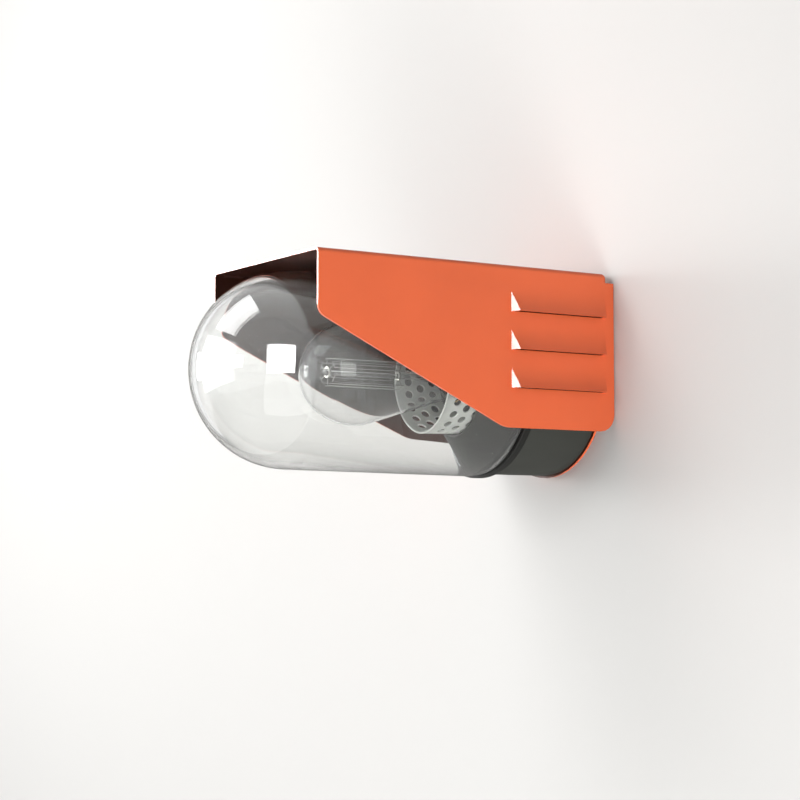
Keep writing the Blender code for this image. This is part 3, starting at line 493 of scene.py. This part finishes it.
def makeBulbGlass():
    radius, rear, front = levels("bulb_envelope")
    neck, wall = bulbValues["neck"], bulbValues["wall"]
    capFront = rear + bulbValues["neckInCap"]
    centre = front - radius
    run = centre - capFront
    # where the straight slope from the cap meets the round head
    tangent = degrees(acos(radius / hypot(run, neck)) - atan2(run, neck))

    def skin(inset):
        head = arcPoints((0, centre), radius - inset, 90, tangent, bulbValues["headSteps"])
        head[0] = (0, front - inset)
        return head + [(neck - inset, capFront), (neck - inset, rear)]

    glass = spinPiece("bulb_glass", skin(0) + skin(wall)[::-1])
    dress(glass, bulbGlass)
    smooth(glass, bulbValues["smoothAngle"])
    standFor(glass, "bulb", "bulb_envelope")


def makeBulbCap():
    radius, rear, front = levels("bulb_cap")
    bore = radius - capValues["wall"]
    perTurn = capValues["turnSteps"]
    threadTop = front - capValues["skirt"]
    profile = [(bore, front), (radius, front)]
    for i in range(capValues["turns"] * perTurn + 1):
        wave = (1 - cos(2 * pi * i / perTurn)) / 2
        profile.append((radius - capValues["depth"] * wave, threadTop - i * capValues["pitch"] / perTurn))
    profile += [(bore + capValues["wall"] * capValues["lipShare"], rear), (bore, rear)]
    cap = spinPiece("bulb_screw_cap", profile, capValues["steps"], closed=True)
    dress(cap, nickelPlate)
    smooth(cap, capValues["smoothAngle"])
    standFor(cap, "bulb", "bulb_cap")


# fittings that keep their CAD shape, with their edges eased; wires and the bulb's stem stay round

fittingValues = {"ease": 0.0002, "easeSegments": 2, "flatAngle": 35, "roundAngle": 70}
roundFinishes = {"bulb_stem": bulbGlass, "filament": tungstenWire, "front_hooks": tungstenWire,
                 "rear_hooks": tungstenWire, "lead_in_wire_1": nickelPlate, "lead_in_wire_2": nickelPlate,
                 "live_lead": brownSleeve, "neutral_lead": blueSleeve, "earth_lead": greenSleeve}
flatFinishes = {"wall_bracket": zincPlate, "fixing_screw_1": zincPlate, "fixing_screw_2": zincPlate,
                "fixing_screw_3": zincPlate, "well_floor": darkCoat, "cover_screw_1": zincPlate,
                "cover_screw_2": zincPlate, "cover_screw_3": zincPlate, "lampholder_screw_1": zincPlate,
                "lampholder_screw_2": zincPlate, "centre_contact": brassSheet,
                "cable_grommet": blackSilicone, "terminal_block": whiteNylon,
                "terminal_screw_1": brassSheet, "terminal_screw_2": brassSheet,
                "terminal_screw_3": brassSheet, "earth_screw": zincPlate, "bulb_insulator": capGlass,
                "bulb_contact": solderTin}


def makeFittings():
    record = frame["record"]
    bodies = record["behaviour"]["bodies"]
    bodyOf = {node: body for body, members in bodies.items() for node in members}
    for node, finish in {**roundFinishes, **flatFinishes}.items():
        piece = cleanCopy(node, node + "_eased")
        if node in flatFinishes:
            softenEdges(piece, fittingValues["ease"], fittingValues["easeSegments"])
            smooth(piece, fittingValues["flatAngle"])
        else:
            smooth(piece, fittingValues["roundAngle"])
        dress(piece, finish)
        standFor(piece, bodyOf[node], node)


makeHood()
makeGlass()
makeRing()
makeGasket()
makeBase()
makeShroud()
makeLampholder()
makeScrewShell()
makeBulbGlass()
makeBulbCap()
makeFittings()
print("pieces made")


# stage

stageValues = {"wallColour": "#D4D3D1", "floorColour": "#E6E5E2", "wallMirrored": "#7F7E7C",
               "floorMirrored": "#FCFCFA", "roughness": 0.9, "wallGap": 0.0004, "floorDrop": 1.9,
               "size": 9.0}


def stagePaint(name, colour, mirrorColour):
    # matt paint; what glass and lacquer mirror of it is one even tone
    material, tree, shader = newMaterial(name)
    fill(tree, shader, {"Base Color": hexColour(colour), "Roughness": stageValues["roughness"]})
    ray = addNode(tree, "ShaderNodeLightPath").outputs
    mirrored = addNode(tree, "ShaderNodeMath", {0: ray["Is Glossy Ray"], 1: ray["Is Transmission Ray"]},
                       operation="SUBTRACT", use_clamp=True)
    glow = addNode(tree, "ShaderNodeEmission", {"Color": hexColour(mirrorColour), "Strength": 1.0})
    paint = addNode(tree, "ShaderNodeMixShader", {0: mirrored.outputs["Value"], 1: shader.outputs["BSDF"],
                                                  2: glow.outputs["Emission"]})
    # seen from its back, the stage is clear, so that the lamp's back shows
    behind = addNode(tree, "ShaderNodeNewGeometry").outputs["Backfacing"]
    clear = addNode(tree, "ShaderNodeBsdfTransparent")
    both = addNode(tree, "ShaderNodeMixShader", {0: behind, 1: paint.outputs["Shader"],
                                                 2: clear.outputs["BSDF"]})
    tree.links.new(both.outputs["Shader"], tree.nodes["Material Output"].inputs["Surface"])
    return material


def makeStage():
    # mirrored, the wall is grey, which draws the glass's lower edge, and the floor is pale
    for side, place, turn in (("wall", (0, stageValues["wallGap"], 0), (pi / 2, 0, 0)),
                              ("floor", (0, 0, -stageValues["floorDrop"]), (0, 0, 0))):
        startClean()
        bpy.ops.mesh.primitive_plane_add(size=stageValues["size"], location=place, rotation=turn)
        plane = bpy.context.object
        plane.name = "stage_" + side
        dress(plane, stagePaint(plane.name + " paint", stageValues[side + "Colour"],
                                stageValues[side + "Mirrored"]))


# light

# each lamp: direction from the object's middle, distance, width and height in metres, watts
lightValues = {"side_shine": ((0.72, -0.6, 0.12), 1.6, 0.9, 0.9, 26.0),
               "low_softbox": ((0.62, -0.17, -0.78), 1.6, 1.0, 0.7, 20.0),
               "glass_fill": ((0.7, -0.45, -0.55), 1.6, 1.6, 1.6, 9.5),
               "top_softbox": ((-0.34, -0.6, 0.7), 1.5, 0.85, 0.85, 10.5),
               "front_softbox": ((-0.5, -0.86, 0.1), 1.6, 1.5, 1.1, 10.5),
               "front_lamp": ((0.01, -0.98, 0.09), 1.6, 0.3, 0.3, 6.9),
               "left_lamp": ((-0.84, -0.53, 0.08), 1.6, 0.4, 0.4, 9.0)}
# the shine shows only in the dome's glass; the low softbox and the fill aren't mirrored at all
lightRoles = {"onlyInGlass": ["side_shine"], "notMirrored": ["low_softbox", "glass_fill"],
              "notThroughGlass": ["low_softbox"]}
lightMiddle = Vector((0, -0.13, 0))
worldValues = {"above": 0.08, "below": 0.16, "from": -0.25, "to": 0.15, "seen": 1.0}


def makeLamps():
    for name, (towards, distance, width, height, watts) in lightValues.items():
        startClean()
        place = lightMiddle + Vector(towards).normalized() * distance
        bpy.ops.object.light_add(type="AREA", location=place)
        lamp = bpy.context.object
        lamp.name = name
        lamp.data.shape = "RECTANGLE"
        lamp.data.size, lamp.data.size_y = width, height
        lamp.data.energy = watts
        lamp.visible_diffuse = name not in lightRoles["onlyInGlass"]
        lamp.visible_glossy = name not in lightRoles["notMirrored"]
        lamp.visible_transmission = name not in lightRoles["notThroughGlass"]
        lamp.rotation_euler = (lightMiddle - lamp.location).to_track_quat("-Z", "Y").to_euler()
        if name in lightRoles["onlyInGlass"]:
            mirrors = bpy.data.collections.new("mirrors " + name)
            mirrors.objects.link(bpy.data.objects["dome_glass"])
            lamp.light_linking.receiver_collection = mirrors


def makeRoom():
    # the room gives a little more light from below than from above,
    # and is white where it is seen or mirrored
    world = bpy.data.worlds.new("studio")
    bpy.context.scene.world = world
    world.use_nodes = True
    tree = world.node_tree
    place = addNode(tree, "ShaderNodeTexCoord").outputs["Generated"]
    up = addNode(tree, "ShaderNodeSeparateXYZ", {0: place})
    glow = addNode(tree, "ShaderNodeMapRange", {"Value": up.outputs["Z"], "From Min": worldValues["from"],
                                                "From Max": worldValues["to"],
                                                "To Min": worldValues["below"],
                                                "To Max": worldValues["above"]})
    ray = addNode(tree, "ShaderNodeLightPath").outputs
    shown = ray["Is Camera Ray"]
    for kind in ("Is Glossy Ray", "Is Transmission Ray"):
        either = addNode(tree, "ShaderNodeMath", {0: shown, 1: ray[kind]}, operation="MAXIMUM")
        shown = either.outputs["Value"]
    strength = addNode(tree, "ShaderNodeMapRange", {"Value": shown, "To Min": glow.outputs["Result"],
                                                    "To Max": worldValues["seen"]})
    fill(tree, tree.nodes["Background"], {"Color": (1, 1, 1, 1), "Strength": strength.outputs["Result"]})


# camera

cameraValues = {"place": (1.06586, -0.80543, -0.1145), "azimuth": 57.29, "pitch": 4.49, "lens": 90.34,
                "sensor": 36.0}


def makeCamera():
    data = bpy.data.cameras.new("camera")
    eye = bpy.data.objects.new("camera", data)
    bpy.context.scene.collection.objects.link(eye)
    data.lens = cameraValues["lens"]
    data.sensor_width = cameraValues["sensor"]
    eye.location = cameraValues["place"]
    turn, pitch = radians(cameraValues["azimuth"]), radians(cameraValues["pitch"])
    ahead = Vector((-sin(turn) * cos(pitch), cos(turn) * cos(pitch), sin(pitch)))
    eye.rotation_euler = ahead.to_track_quat("-Z", "Y").to_euler()
    bpy.context.scene.camera = eye


makeStage()
makeLamps()
makeRoom()
makeCamera()
bpy.context.scene.view_settings.view_transform = "Standard"
print("stage, light and camera set")
